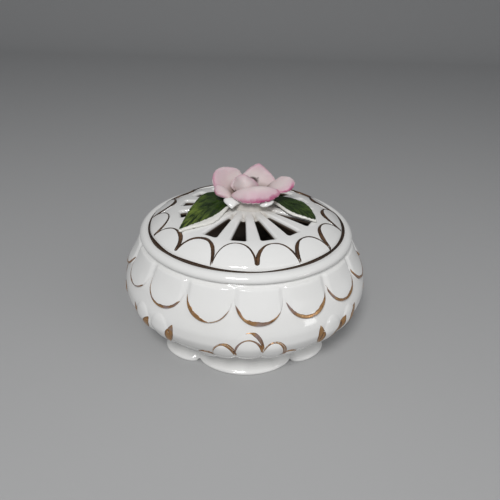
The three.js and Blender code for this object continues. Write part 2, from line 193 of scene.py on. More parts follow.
# Base of the rose: its middle, and its profile as radius and height
ROSE_BASE_MIDDLE = (1.5, 0.5)
ROSE_BASE_PROFILE = [
    (0.5, 60.2), (9.0, 60.1), (8.7, 61.4), (8.3, 62.3), (8.0, 63.3), (7.6, 64.3), (6.9, 65.4), (5.4, 66.4),
    (3.3, 67.0), (0.5, 67.1),
]

# Petals, sepals and leaves. Each is a sheet laid through three arcs, its root, its belly and its lip, and
# each arc goes through three points. Seen from the side that shows, the root is below and the arcs run
# from left to right. The last number says how square the outline is.
PETALS = {
    "petal_heart": (
        [(-3.5, 0, 65), (-2.5, 1.5, 65), (-0.5, 3, 65)],
        [(-6.5, -1, 69.5), (-4.5, 2.5, 70), (-2, 3.5, 72)],
        [(-8, 0, 71), (-5.5, 3, 73), (-2, 4, 75)],
        2.8,
    ),
    "petal_centre": (
        [(4.5, -3, 65), (0.5, -4.5, 65), (-3, -2.5, 65)],
        [(4.8, -1, 69.5), (-0.4, -5, 72.4), (-5.4, -1, 70.2)],
        [(4.6, 1, 72), (-1.6, -1.5, 75.8), (-5, 1, 74)],
        3.0,
    ),
    "petal_back": (
        [(-0.5, 4, 65), (3, 4.5, 65), (7, 4, 65)],
        [(-3.5, 6.5, 71), (5, 8.5, 71.5), (14.2, 5.5, 69.5)],
        [(-3, 9, 76), (5, 11, 77.5), (10.5, 9, 75.2)],
        1.5,
    ),
    "petal_upper_left": (
        [(-5, -1.5, 65), (-3.5, 1, 65), (-1.5, 3.5, 65.5)],
        [(-12, -3, 68.5), (-9.5, 3.5, 71.5), (-2, 6.5, 72)],
        [(-15, -3, 70), (-14, 4, 76.5), (-3.5, 8, 76)],
        4.4,
    ),
    "petal_small_left": (
        [(-4.5, -4.5, 65), (-5.5, -2.5, 65), (-6, -0.5, 65)],
        [(-9, -6.5, 67), (-10, -4, 69), (-11.5, -1, 70.5)],
        [(-13.5, -6.5, 67), (-15, -4, 69), (-15.5, -1, 70.5)],
        3.2,
    ),
    "petal_right": (
        [(7, 3, 65.5), (6, 0, 65.5), (6.5, -3, 65.5)],
        [(14, 3, 73.5), (13.5, -1, 71.5), (14, -5.5, 69.5)],
        [(21, 1, 75), (21.5, -2, 73), (19.5, -6, 69.5)],
        3.4,
    ),
    "petal_front": (
        [(8.5, -4, 65), (3, -4.5, 65), (-3.5, -4.5, 65)],
        [(14.5, -3.5, 70), (3.5, -6, 72), (-7, -5, 68)],
        [(14.5, -7.5, 67), (3.5, -11, 66.5), (-6, -8.5, 66)],
        5.0,
    ),
}
SEPALS = {
    "sepal_front_left": (
        [(-2, -3, 64.5), (-4.5, -3, 65), (-7, -2, 65.2)],
        [(-3, -6.5, 64.5), (-7, -7.5, 66), (-10.5, -6, 65.5)],
        [(-4.5, -9.5, 63.5), (-6.5, -10.5, 63.5), (-8, -9.5, 63.5)],
        2.0,
    ),
    "sepal_front_right": (
        [(8.5, -2.5, 64.5), (6.5, -3.5, 65), (4, -4, 65)],
        [(12, -6.5, 66), (8.5, -8, 65.5), (4.5, -7, 65)],
        [(11.5, -8.5, 65), (8.5, -10, 64.5), (6, -9, 64)],
        3.0,
    ),
    "sepal_back": (
        [(-2, 7, 63.5), (1, 7.5, 64), (4, 7, 63.5)],
        [(-2.5, 10.5, 64.5), (1, 11.5, 65.5), (4.5, 10.5, 64.5)],
        [(-1, 14, 63.5), (1, 15, 63.8), (3, 14, 63.5)],
        2.2,
    ),
}
LEAVES = {
    "leaf_left": (
        [(-7.5, -5.5, 62), (-7, -1.5, 64), (-11.5, 2.5, 65.5)],
        [(-14.2, -18.6, 60.0), (-18.4, -7.8, 61.8), (-21.8, 1.8, 64)],
        [(-25.4, -26.4, 58.4), (-29.0, -24.4, 58.2), (-29.2, -19.6, 59.2)],
        1.9,
    ),
    "leaf_right": (
        [(13, 4.2, 65), (9.5, 2.5, 64), (11.8, 0.6, 63)],
        [(26, 2.2, 62.2), (23.3, -2.6, 61.4), (20, -9.2, 60.9)],
        [(32.5, -5.5, 60), (31.5, -12, 59), (28, -14, 59.5)],
        1.7,
    ),
}
SHEET_RINGS = 24
SHEET_COLUMNS = 168
SHEET_MIDDLE = np.array([0, 0.48])
RIM_WAVES = [(3, 6), (7, 11), (17, 26)]

# Where each petal's rim is painted magenta: its middle from 0 to 1 along the arcs, how far, how strongly,
# and how much painted shade darkens the petal at its root. One has a dark patch painted as the shadow in a
# cleft between petals: its place, its height and its lean.
PETAL_TONES = {
    "petal_heart": (0.5, 0.5, 0.2, 0.5),
    "petal_centre": (0.3, 0.4, 0.35, 0.3),
    "petal_back": (0.5, 0.5, 0.2, 0.5),
    "petal_upper_left": (0.2, 0.2, 0.45, 0.4),
    "petal_small_left": (0.4, 0.5, 0.6, 0.3),
    "petal_right": (0.85, 0.35, 1.0, 0.5),
    "petal_front": (0.35, 0.5, 1.0, 0.3),
}
PAINTED_CLEFT_SHADOWS = {"petal_back": (0.4, 0.42, 0.35)}

# Camera, in millimetres and degrees, and lamps: place in metres, size and power
CAMERA_PLACE = (2.1, -215.3, 155)
CAMERA_PITCH = 28.75
CAMERA_ROLL = 1.579
CAMERA_LENS = 35.98
LAMPS = {
    "key": ((-0.08, -0.50, 0.58), 0.2, 3.0),
    "fill": ((0.45, -0.30, 0.40), 0.4, 0.3),
    "low side light": ((0.50, -0.34, 0.05), 0.12, 0.2),
}


# Curves and meshes

def profile_curve(points):
    """A smooth curve through a profile's points that never swings past them."""
    x, y = np.array(points, float).T
    steps = np.diff(x)
    slopes = np.diff(y) / steps
    tangents = np.zeros(len(x))
    tangents[0], tangents[-1] = slopes[0], slopes[-1]
    for i in range(1, len(x) - 1):
        product = slopes[i - 1] * slopes[i]
        tangents[i] = 2 * product / (slopes[i - 1] + slopes[i]) if product > 0 else 0

    def at(value):
        value = np.clip(value, x[0], x[-1])
        i = np.clip(np.searchsorted(x, value, side="right") - 1, 0, len(steps) - 1)
        t = (value - x[i]) / steps[i]
        rise = y[i + 1] - y[i]
        start, end = tangents[i] * steps[i], tangents[i + 1] * steps[i]
        return y[i] + start * t + (3 * rise - 2 * start - end) * t**2 + (start + end - 2 * rise) * t**3

    return at


def evenly(values, count):
    """So many even steps along a smooth curve through evenly spaced values."""
    knots = list(zip(np.linspace(0, 1, len(values)), values))
    return profile_curve(knots)(np.linspace(0, 1, count))


bowl_radius = profile_curve(BOWL_PROFILE)
lid_height = profile_curve(LID_PROFILE)


def smooth(t):
    t = np.clip(t, 0, 1)
    return t * t * (3 - 2 * t)


def mix(a, b, t):
    return a + (b - a) * t


def blend(start, end, count):
    """So many even steps from a start to an end, without the end itself."""
    return [mix(start, end, t) for t in np.linspace(0, 1, count)[:-1]]


def hump(offset, spread):
    """A soft bump of height 1 at no offset."""
    return np.exp(-((offset / spread) ** 2))


def from_centre(angle, count, phase):
    """Angle from the nearest of equally spaced centres."""
    pitch = 360 / count
    steps = (np.asarray(angle, float) - phase) / pitch
    return (steps - np.round(steps)) * pitch


def around(angle, radius, height):
    """Points at an angle, radius and height, as an array whose last axis is x, y, z."""
    turn = np.radians(angle)
    return np.stack(np.broadcast_arrays(radius * np.sin(turn), -radius * np.cos(turn), height), -1)


def from_front(count):
    """Numbers of a round of pads or panels, counted from the front one to both sides."""
    return [k if k < count / 2 else k - count for k in range(count)]


def turned(angle, profile):
    """A row of points for each radius and height of a profile."""
    return [around(angle, radius, height) for radius, height in profile]


def unit(vectors):
    return vectors / np.maximum(np.linalg.norm(vectors, axis=-1, keepdims=True), 1e-9)


def slopes_of(surface, first, second, probe):
    """How a surface's points move along each of its two coordinates, measured over a small step."""
    by_first = surface(first + probe, second) - surface(first - probe, second)
    by_second = surface(first, second + probe) - surface(first, second - probe)
    return by_first / (2 * probe), by_second / (2 * probe)


def columns_of(count):
    return np.arange(count) * 360 / count


def turned_faces(rows, columns, closed=False):
    """Quads of a grid whose rows wrap round; closed also joins its last row to its first."""
    last = rows if closed else rows - 1
    row, column = np.meshgrid(np.arange(last), np.arange(columns), indexing="ij")
    above, beside = (row + 1) % rows * columns, (column + 1) % columns
    row = row * columns
    return np.stack([row + column, row + beside, above + beside, above + column], -1).reshape(-1, 4)


def capped(faces, rows, columns):
    """The faces of a turned grid and one face over each end of it."""
    ends = [list(range(columns))[::-1], [(rows - 1) * columns + i for i in range(columns)]]
    return faces.tolist() + ends


def add_object(name, data):
    added = bpy.data.objects.new(name, data)
    bpy.context.scene.collection.objects.link(added)
    return added


def make_mesh(name, points, faces):
    mesh = bpy.data.meshes.new(name)
    mesh.from_pydata((np.asarray(points, float).reshape(-1, 3) * MM).tolist(), [], faces)
    mesh.update()
    mesh.polygons.foreach_set("use_smooth", [True] * len(mesh.polygons))
    return add_object(name, mesh)


def make_turned(name, rows):
    """A mesh of rows of points that wrap round, with a face over each end."""
    grid = len(rows), len(rows[0])
    return make_mesh(name, rows, capped(turned_faces(*grid), *grid))


def store(piece, name, *values):
    """Up to four values at each point of a mesh, which its material can read."""
    stored = np.zeros((len(piece.data.vertices), 4), np.float32)
    for place, value in enumerate(values):
        stored[:, place] = np.ravel(value)
    layer = piece.data.color_attributes.new(name, "FLOAT_COLOR", "POINT")
    layer.data.foreach_set("color", stored.ravel())


def turn_outward(piece):
    """Drops points that no face uses and turns every face outward."""
    work = bmesh.new()
    work.from_mesh(piece.data)
    bmesh.ops.delete(work, geom=[v for v in work.verts if not v.link_faces], context="VERTS")
    bmesh.ops.recalc_face_normals(work, faces=work.faces)
    work.to_mesh(piece.data)
    work.free()


def finish_piece(piece, material, body, slot, *nodes):
    piece.data.materials.append(material)
    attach(piece, body)
    if nodes:
        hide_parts(*nodes)


# Bowl

def pad_outline(angle, outset=0.0):
    """Height of a pad's lower edge, or of a line outside it."""
    across = np.minimum(np.abs(from_centre(angle, PAD_COUNT, PAD_PHASE)) / (PAD_HALF_WIDTH + outset), 1)
    tip = PAD_TIP - PAD_STEP if outset else PAD_TIP
    return PAD_CUSP - (PAD_CUSP - tip) * np.sqrt(1 - across**2)


def pad_relief(angle, height):
    half_pitch = 180 / PAD_COUNT
    offset = np.abs(from_centre(angle, PAD_COUNT, PAD_PHASE))
    inner, outer = pad_outline(angle), pad_outline(angle, PAD_OUTSET)
    edge = smooth((height - outer) / np.maximum(inner - outer, 0.05))
    valley = 0.25 + 0.75 * smooth((half_pitch - offset) / 2.8)
    shoulder = smooth((PAD_TOP + 1.6 - height) / 1.6)
    pillow = 0.72 + 0.28 * (1 - (offset / half_pitch) ** 2)
    return PAD_RELIEF * edge * valley * shoulder * pillow


def petal_relief(angle, height):
    radius = bowl_radius(height)
    highest = np.zeros(np.broadcast(angle, height).shape)
    for phase, petals in ((LOTUS_PHASE, LOTUS), (GADROON_PHASE, GADROONS)):
        for offset, middle, width, length, relief in petals:
            across = np.radians(from_centre(angle, 4, phase + offset)) * radius / width
            up = (height - middle) / length
            dome = relief * np.clip(1 - across**2 - up**2, 0, 1) ** 0.55
            highest = np.maximum(highest, dome)
    return highest


def bowl_surface(angle, height):
    """A point of the bowl's outside, its relief standing square to the sloping wall."""
    slope = bowl_radius(height + 0.5) - bowl_radius(height - 0.5)
    steep = np.hypot(1, slope)
    raised = pad_relief(angle, height) + petal_relief(angle, height)
    return around(angle, bowl_radius(height) + raised / steep, height - raised * slope / steep)


def bowl_wall(angle, height):
    """The bowl's outside without its relief."""
    return around(angle, bowl_radius(height), height)


def make_bowl(material):
    angle = columns_of(BOWL_COLUMNS)
    inner, outer = pad_outline(angle), pad_outline(angle, PAD_OUTSET)
    heights = [
        *np.linspace(8.5, BOWL_BELLY, 66)[:-1],
        *blend(BOWL_BELLY, outer, 12),
        *blend(outer, inner, 7),
        *blend(inner, PAD_TOP, 22),
        *np.linspace(PAD_TOP, BOWL_RIM - 0.4, 8),
    ]
    rows = turned(angle, [(radius, BOWL_BOTTOM) for radius in (8, 30, 42.4, 43.2)])
    rows += [bowl_surface(angle, height) for height in heights]
    rows += turned(angle, BOWL_LIP)
    outside = len(rows)
    rows += turned(angle, [(MOUTH_RADIUS, MOUTH_BOTTOM)])
    rows += turned(angle, [(bowl_radius(z) - BOWL_WALL, z) for z in np.linspace(42, 17, 26)])
    rows += turned(angle, BOWL_WELL)
    bowl = make_turned("bowl_casting", rows)
    # The inside is marked so that the material darkens it as painted shade within the closed box
    inside = np.zeros((len(rows), BOWL_COLUMNS))
    inside[outside:] = 1
    store(bowl, "tone", inside)
    finish_piece(bowl, material, "bowl", "glazed_porcelain", "bowl")


# Foot

def lobe_radius(angle):
    """The foot's radius at its sole, and how far out that is from 0 in a notch to 1 on a lobe."""
    radius = np.full(np.shape(angle), NOTCH_RADIUS)
    full = np.zeros(np.shape(angle))
    for at, peak, half_width, power in FOOT_LOBES:
        across = from_centre(angle, 2, FOOT_PHASE + at) / half_width
        part = np.clip(1 - across**2, 0, 1) ** power
        radius = np.maximum(radius, mix(NOTCH_RADIUS, peak, part))
        full = np.maximum(full, part)
    return radius, full


def make_foot(material):
    angle = columns_of(FOOT_COLUMNS)
    radius, full = lobe_radius(angle)
    lift = NOTCH_LIFT * np.clip(1 - 3 * full, 0, 1)
    straight, curved, power = FOOT_FLARE
    rows = []

    def add(flare, inset, height):
        """A row at a height, from 0 to 1 of the way from the top's circle out to the sole's lobes."""
        at = mix(FOOT_TOP_RADIUS, radius, flare) - inset
        rows.append(around(angle, at, height + lift * (1 - height / FOOT_TOP)))

    # The flaring outside, the rounded edge, the sole and the inside
    for t in np.linspace(0, 1, 24):
        add(straight * t + curved * t**power, 0, mix(FOOT_TOP, 1.9, t))
    for turn in np.radians(np.linspace(60, -90, 14)):
        add(1, 0.8 * (1 - math.cos(turn)), FOOT_EDGE * (1 + math.sin(turn)))
    add(1, FOOT_WALL - 0.4, 0)
    add(1, FOOT_WALL, 0.4)
    for t in np.linspace(0, 1, 10)[1:]:
        add(1 - t, FOOT_WALL, mix(0.6, FOOT_TOP, t))
    foot = make_mesh("foot_skirt", rows, turned_faces(len(rows), FOOT_COLUMNS, closed=True).tolist())
    finish_piece(foot, material, "bowl", "glazed_porcelain", "foot")


# Lid

def panel_outline(angle, inset=0.0):
    across = np.abs(from_centre(angle, PANEL_COUNT, PANEL_PHASE)) / (180 / PANEL_COUNT)
    number = np.round((np.asarray(angle, float) - PANEL_PHASE) * PANEL_COUNT / 360).astype(int)
    crowns = [PANELS.get(k, [PANEL_CROWN])[0] for k in from_front(PANEL_COUNT)]
    crown = np.array(crowns)[number % PANEL_COUNT] - inset
    return PANEL_CUSP - (PANEL_CUSP - crown) * np.sqrt(1 - np.minimum(across, 1) ** 2) ** 0.9


def panel_relief(angle, radius):
    edge = smooth((radius - panel_outline(angle, PANEL_STEP)) / PANEL_STEP)
    return PANEL_RELIEF * edge * smooth((GROOVE_RADIUS - radius) / 1.4)


def window_distance(angle, radius):
    """Signed distance to the nearest window's edge in plan, negative inside it."""
    offset = np.radians(from_centre(angle, PANEL_COUNT, PANEL_PHASE))
    along, across = radius * np.cos(offset), np.abs(radius * np.sin(offset))
    taper = math.atan2((WINDOW_WIDTH - WINDOW_TIP) / 2, WINDOW_OUTER - WINDOW_INNER)
    side = (across - WINDOW_TIP / 2 - (along - WINDOW_INNER) * math.tan(taper)) * math.cos(taper)
    ends = np.maximum(along - WINDOW_OUTER, WINDOW_INNER - along)
    a, b = side + WINDOW_CORNER, ends + WINDOW_CORNER
    return np.minimum(np.maximum(a, b), 0) + np.hypot(np.maximum(a, 0), np.maximum(b, 0)) - WINDOW_CORNER


def crease(angle, radius):
    """How deep a groove runs on from each window towards the rose, from 0 to 1."""
    offset = np.radians(from_centre(angle, PANEL_COUNT, PANEL_PHASE)) * radius
    along = smooth((radius - CREASE_INNER) / 3) * smooth((WINDOW_INNER + 3 - radius) / 2)
    return hump(offset, 0.75) * along


def window_rounding(angle, radius, size):
    """How far the face falls away where it rounds over into a window."""
    inside = np.clip(size - window_distance(angle, radius), 0, size)
    return size - np.sqrt(np.maximum(size**2 - inside**2, 0))


def lid_surface(angle, radius):
    slope = lid_height(radius + 0.5) - lid_height(radius - 0.5)
    steep = np.hypot(1, slope)
    raised = panel_relief(angle, radius) - window_rounding(angle, radius, WINDOW_ROUNDING)
    raised = raised - CREASE_DEPTH * crease(angle, radius)
    return around(angle, radius - raised * slope / steep, lid_height(radius) + raised / steep)


def lid_dome(angle, radius):
    """The lid's outside without its relief."""
    return around(angle, radius, lid_height(radius))


def lid_lining(angle, radius):
    """The lid's inside."""
    fall = window_rounding(angle, radius, INSIDE_ROUNDING)
    return around(angle, radius, lid_height(radius) - LID_WALL + fall)


def snapped_to_windows(angle, radius, step):
    """Moves grid points that lie within a step of a window's edge, on its inner side, on to that edge."""
    probe = 0.02
    for _ in range(3):
        distance = window_distance(angle, radius)
        by_radius = (window_distance(angle, radius + probe) - distance) / probe
        by_angle = (window_distance(angle + np.degrees(probe / radius), radius) - distance) / probe
        near = (distance < 0) & (distance > -step)
        size = np.maximum(by_radius**2 + by_angle**2, 0.2)
        radius = np.where(near, radius - distance * by_radius / size, radius)
        angle = np.where(near, angle - np.degrees(distance * by_angle / size / radius), angle)
    return angle, radius


def lid_points():
    """Points of the lid in rows, from the middle of its outside to the middle of its inside.

    Also gives which cells of the openwork lie over a window, the first row of the openwork outside and
    inside, and the row where the inside starts."""
    radii = np.linspace(WEB_INNER, WEB_OUTER, 54)
    plain = columns_of(LID_COLUMNS)
    angle, radius = np.meshgrid(plain, radii)
    corner = window_distance(angle, radius) < 0
    corner = corner & np.roll(corner, -1, 1)
    cell = np.hypot(radii[1] - radii[0], np.radians(360 / LID_COLUMNS) * WINDOW_OUTER)
    angle, radius = snapped_to_windows(angle, radius, 1.5 * cell)
    outline, foot_line = panel_outline(plain), panel_outline(plain, PANEL_STEP)

    rows = [lid_surface(plain, r) for r in (3, 6, 8, *np.linspace(8.6, 11.4, 8))]
    web_outside = len(rows)
    rows += list(lid_surface(angle, radius))
    past_web = [*blend(WEB_OUTER, foot_line, 12)[1:], *blend(foot_line, outline, 6)]
    past_web += [*blend(outline, GROOVE_RADIUS, 24), GROOVE_RADIUS]
    rows += [lid_surface(plain, r) for r in past_web]
    rows += turned(plain, BEAD_PROFILE + FLANGE_OUTSIDE)
    inside = len(rows)
    rows += turned(plain, FLANGE_INSIDE)
    rows += [lid_lining(plain, r) for r in (38, 36, 34.5)]
    web_inside = len(rows)
    rows += list(lid_lining(angle, radius)[::-1])
    rows += [lid_lining(plain, r) for r in (10, 7, 3)]
    return np.array(rows), corner[:-1] & corner[1:], web_outside, web_inside, inside


def pierced_faces(rows, columns, hole, web_outside, web_inside):
    """Faces of the lid without those over the windows, and with the windows' walls."""
    depth = len(hole)
    solid = np.ones((rows - 1, columns), bool)
    solid[web_outside:web_outside + depth] = ~hole
    solid[web_inside:web_inside + depth] = ~hole[::-1]
    faces = capped(turned_faces(rows, columns)[solid.ravel()], rows, columns)

    def wall(first, second):
        above = [(web_outside + i) * columns + j % columns for i, j in (first, second)]
        below = [(web_inside + depth - i) * columns + j % columns for i, j in (second, first)]
        return above + below

    beyond = np.pad(hole, ((1, 1), (0, 0)))
    for i, j in np.argwhere(beyond[1:] != beyond[:-1]).tolist():
        faces.append(wall((i, j), (i, j + 1)))
    for i, j in np.argwhere(hole != np.roll(hole, 1, 1)).tolist():
        faces.append(wall((i, j), (i + 1, j)))
    return faces


def make_lid(material):
    points, hole, web_outside, web_inside, inside_row = lid_points()
    grid = points.shape[:2]
    lid = make_mesh("lid_casting", points, pierced_faces(*grid, hole, web_outside, web_inside))
    # The inside is marked so that the material darkens it as painted shade within the closed box
    inside = np.zeros(grid)
    inside[inside_row:] = 1
    radius = np.hypot(points[..., 0], points[..., 1])
    angle = np.degrees(np.arctan2(points[..., 0], -points[..., 1]))
    # A warm tint round the rose's base and in the creases, partly stain and partly painted shade under the
    # rose and in the creases
    warm = 0.25 * smooth((19 - radius) / 8) + 0.45 * crease(angle, radius) * (radius < 14)
    store(lid, "tone", inside, warm)
    turn_outward(lid)
    finish_piece(lid, material, "lid", "glazed_porcelain", "lid")


# Gold lines

def ribbon(surface, guide, first, second, half_width, closed=False, shift=0.0, lift=0.05):
    """A thin line painted along a surface's two coordinates: its points, its faces, and how near each
    point is to its edge and how wide it is there.

    Its width is measured on the guide, the same surface without relief. Shift moves it sideways by so
    many half widths."""
    sink = 0.15
    by_a, by_b = slopes_of(guide, first, second, 0.1)
    path = guide(first, second)
    if closed:
        along = unit(np.roll(path, -1, 0) - np.roll(path, 1, 0))
    else:
        along = unit(np.gradient(path, axis=0))
    outward = unit(np.cross(by_a, by_b))
    heart = np.array([0, 0, 20])
    outward = outward * np.sign((outward * (path - heart)).sum(-1))[:, None]
    aside = unit(np.cross(outward, along))

    # Steps of the two coordinates that move a point one millimetre aside
    aa, ab, bb = (by_a * by_a).sum(-1), (by_a * by_b).sum(-1), (by_b * by_b).sum(-1)
    sa, sb = (by_a * aside).sum(-1), (by_b * aside).sum(-1)
    det = aa * bb - ab**2
    step_a, step_b = (sa * bb - sb * ab) / det, (sb * aa - sa * ab) / det
    sides = [(s, lift * (0.4 + 0.6 * math.sqrt(max(1 - s * s, 0)))) for s in np.linspace(-1, 1, 9)]
    sides += [(1, -sink), (-1, -sink)]
    ring = []
    for s, height in sides:
        reach = (s + shift) * half_width
        ring.append(surface(first + step_a * reach, second + step_b * reach) + outward * height)
    count = len(path)
    faces = turned_faces(count, len(sides), closed=closed)
    faces = faces.tolist() if closed else capped(faces, count, len(sides))
    edge = np.tile([abs(s) for s, height in sides], count)
    return np.stack(ring, 1).reshape(-1, 3), faces, edge, np.repeat(half_width, len(sides))


def make_gold(name, ribbons, material, body):
    """One mesh of many ribbons."""
    points, faces, edges, half_widths = zip(*ribbons)
    starts = np.cumsum([0, *map(len, points)])
    joined = [[start + i for i in face] for start, some in zip(starts.tolist(), faces) for face in some]
    gold = make_mesh(name, np.concatenate(points), joined)
    store(gold, "edge", np.concatenate(edges), np.minimum(np.concatenate(half_widths) / 3, 1))
    finish_piece(gold, material, body, "gilding")


def wander(dice, count, knots):
    """A smooth random walk from about -1 to 1 over so many steps."""
    return np.interp(np.linspace(0, 1, count), np.linspace(0, 1, knots), dice.uniform(-1, 1, knots))


def brushed(dice, widths, count, blunt=0.04, ragged=0.08):
    """Half width of a ragged brush stroke that swells and thins through its widths and has round ends."""
    t = np.linspace(0, 1, count)
    uneven = 1 + ragged * (wander(dice, count, count // 3) + wander(dice, count, 9))
    ends = np.sqrt(np.clip(np.minimum(t, 1 - t) / blunt, 0.01, 1))
    return evenly(widths, count) * uneven * ends / 2


def pad_ribbons(dice):
    """Strokes round the pads. Chance ones are drawn for all, so a change of one pad leaves the others."""
    for number in from_front(PAD_COUNT):
        left, low, right = dice.uniform(0.4, 1.4), dice.uniform(1.0, 2.0), dice.uniform(0.4, 1.4)
        chance = [(-dice.uniform(60, 80), dice.uniform(55, 80), (left / 2, left, low, right, right / 2))]
        for start, end, widths in PAD_STROKES.get(number, chance):
            count = 20 + int(end - start) // 2
            turn = np.radians(np.linspace(start, end, count))
            wobble = 0.10 * wander(dice, count, 7)
            angle = PAD_PHASE + 360 / PAD_COUNT * number + (PAD_HALF_WIDTH + 0.3) * np.sin(turn)
            height = PAD_CUSP - (PAD_CUSP - PAD_TIP + 0.3 + wobble) * np.cos(turn)
            half = brushed(dice, widths, count)
            yield ribbon(bowl_surface, bowl_wall, angle, height, half, shift=0.8)


def lotus_ribbons(dice, quarter):
    for (offset, centre, width, length, _), (start, end, widths) in zip(LOTUS, LOTUS_STROKES):
        turn = np.radians(np.linspace(start, end, 60))
        height = centre + (length - 0.1) * np.cos(turn)
        reach = np.degrees((width - 0.1) / bowl_radius(height))
        angle = 90 * quarter + LOTUS_PHASE + offset + reach * np.sin(turn)
        half = brushed(dice, widths, 60, ragged=0.03)
        yield ribbon(bowl_surface, bowl_wall, angle, height, half, shift=0.1)


def dart_ribbons(dice, quarter):
    for offset, low, high, lean, thick in DARTS.get(quarter, BACK_DARTS):
        t = np.linspace(0, 1, 40)
        angle = 90 * quarter + GADROON_PHASE + offset + lean * (0.5 - t)
        half = thick * np.sin(math.pi * np.clip(t, 0.01, 0.99)) ** 0.8
        half = half * (1 + 0.05 * wander(dice, len(t), 9))
        yield ribbon(bowl_surface, bowl_wall, angle, mix(low, high, t), half)


def make_bowl_gold(material):
    dice = np.random.default_rng(7)
    ribbons = list(pad_ribbons(dice))
    for quarter in (-1, 0, 1, 2):
        ribbons += lotus_ribbons(dice, quarter)
        ribbons += dart_ribbons(dice, quarter)
    make_gold("bowl_gilding", ribbons, material, "bowl")


def groove_surface(angle, radius):
    """The lid's outside near its gold ring, carried on over the bead's inner side."""
    bead_radius, bead_height = zip(LID_PROFILE[-1], *BEAD_PROFILE[:5])
    on_bead = np.interp(radius, bead_radius, bead_height)
    on_lid = lid_surface(angle, radius)[..., 2]
    return around(angle, radius, np.where(radius < GROOVE_RADIUS, on_lid, on_bead))


def groove_guide(angle, radius):
    return around(angle, radius, GROOVE_HEIGHT)


def brushed_lid(angle, radius):
    """The lid's outside as a brush meets it, bridging its narrow creases."""
    points = lid_surface(angle, radius)
    beside = [lid_surface(angle + step, radius)[..., 2] for step in (-0.6, -0.3, 0, 0.3, 0.6)]
    points[..., 2] = np.max(beside, axis=0)
    return points


def ring_ribbon():
    angle = columns_of(540)
    turn = np.radians(angle)
    radius = GROOVE_RADIUS + 0.1 + 0.12 * np.sin(turn * 5) + 0.06 * np.sin(turn * 13)
    half = 0.72 + 0.12 * np.sin(np.radians(angle * 3 + 200)) + 0.07 * np.sin(turn * 11)
    for at, spread, more in RING_SWELLS:
        half += more * hump(from_centre(angle, 1, at), spread)
    return ribbon(groove_surface, groove_guide, angle, radius, half, closed=True)


def panel_ribbons(dice):
    count = 120
    t = np.linspace(0, 1, count)
    turn = np.radians(mix(-89, 89, t))
    half_pitch = 180 / PANEL_COUNT
    for number in from_front(PANEL_COUNT):
        chance = (PANEL_CROWN, PANEL_CUSP, PANEL_CUSP, tuple(dice.uniform(0.5, 1.5, 5)))
        crown, left, right, widths = PANELS.get(number, chance)
        angle = PANEL_PHASE + 2 * half_pitch * number + (half_pitch - 0.35) * np.sin(turn)
        ends = mix(left, right, smooth(t))
        radius = ends - (ends - crown + 0.1) * np.cos(turn) ** 0.9
        half = brushed(dice, widths, count, blunt=0.015)
        yield ribbon(brushed_lid, lid_dome, angle, radius, half, lift=0.08)


def make_lid_gold(material):
    ribbons = [ring_ribbon(), *panel_ribbons(np.random.default_rng(11))]
    make_gold("lid_gilding", ribbons, material, "lid")


# Rose and leaves

def three_way(t):
    """Weights of a smooth curve through three points at 0, 0.5 and 1."""
    return np.stack([2 * (t - 0.5) * (t - 1), 4 * t * (1 - t), 2 * t * (t - 0.5)], -1)


def sheet_surface(arcs, across, along):
    """Points of a sheet laid through three arcs; across runs from -1 to 1 and along from 0 to 1."""
    weights = three_way(along), three_way((across + 1) / 2)
    return np.einsum("...a,...b,abk->...k", *weights, np.array(arcs, float))


def sheet_normal(arcs, across, along):
    """The direction square to a sheet on the side that shows."""
    return unit(np.cross(*slopes_of(lambda *place: sheet_surface(arcs, *place), across, along, 0.02)))


def petal_rim(square):
    """A petal's outline in its flat coordinates: broad, with a rounded end and a straight root."""
    count, root_width, belly = 120, 0.82, 0.42
    turn = np.linspace(0, math.pi, count)
    power = 2 / square
    across = np.sign(-np.cos(turn)) * np.abs(np.cos(turn)) ** power
    rise = np.abs(np.sin(turn)) ** power
    side = np.linspace(0, 1, count // 4)[:-1]
    right = np.stack([mix(root_width, 1, smooth(side)), belly * side], -1)
    over = np.stack([across, belly + (1 - belly) * rise], -1)
    root = np.linspace(root_width, -root_width, count // 3)[1:-1]
    return np.concatenate([right * [-1, 1], over, right[::-1], np.stack([root, 0 * root], -1)])


def leaf_rim(square):
    """A leaf's outline in its flat coordinates: a narrow root, a broad belly and a pointed tip."""
    count = 120
    along = np.linspace(0, 1, count)
    half = np.sin(np.pi * (0.13 + 0.87 * along) ** 0.95) ** (1 / square)
    half = half / half.max()
    right = np.stack([half, along], -1)
    root = np.linspace(half[0], -half[0], count // 6)[1:-1]
    return np.concatenate([right * [-1, 1], right[::-1][1:], np.stack([root, 0 * root], -1)])


def even_rim(rim, arcs):
    """The outline again, at points evenly spaced along its real length."""
    ring = np.concatenate([rim, rim[:1]])
    real = sheet_surface(arcs, *ring.T)
    reach = np.concatenate([[0], np.cumsum(np.linalg.norm(np.diff(real, axis=0), axis=1))])
    at = np.linspace(0, reach[-1], SHEET_COLUMNS, endpoint=False)
    return np.stack([np.interp(at, reach, side) for side in ring.T], -1)


def vein_relief(across, along):
    """Depth of a leaf's impressed veins, from 0 to 1: one down its middle and slanting ones off it."""
    middle = hump(across, 0.05) * smooth((1 - along) / 0.2)
    slant = (along - 0.45 * np.abs(across)) * 7
    side = hump(slant - np.round(slant), 0.13) * smooth((0.9 - np.abs(across)) / 0.3)
    return np.maximum(middle, 0.55 * side * smooth(np.abs(across) / 0.1))


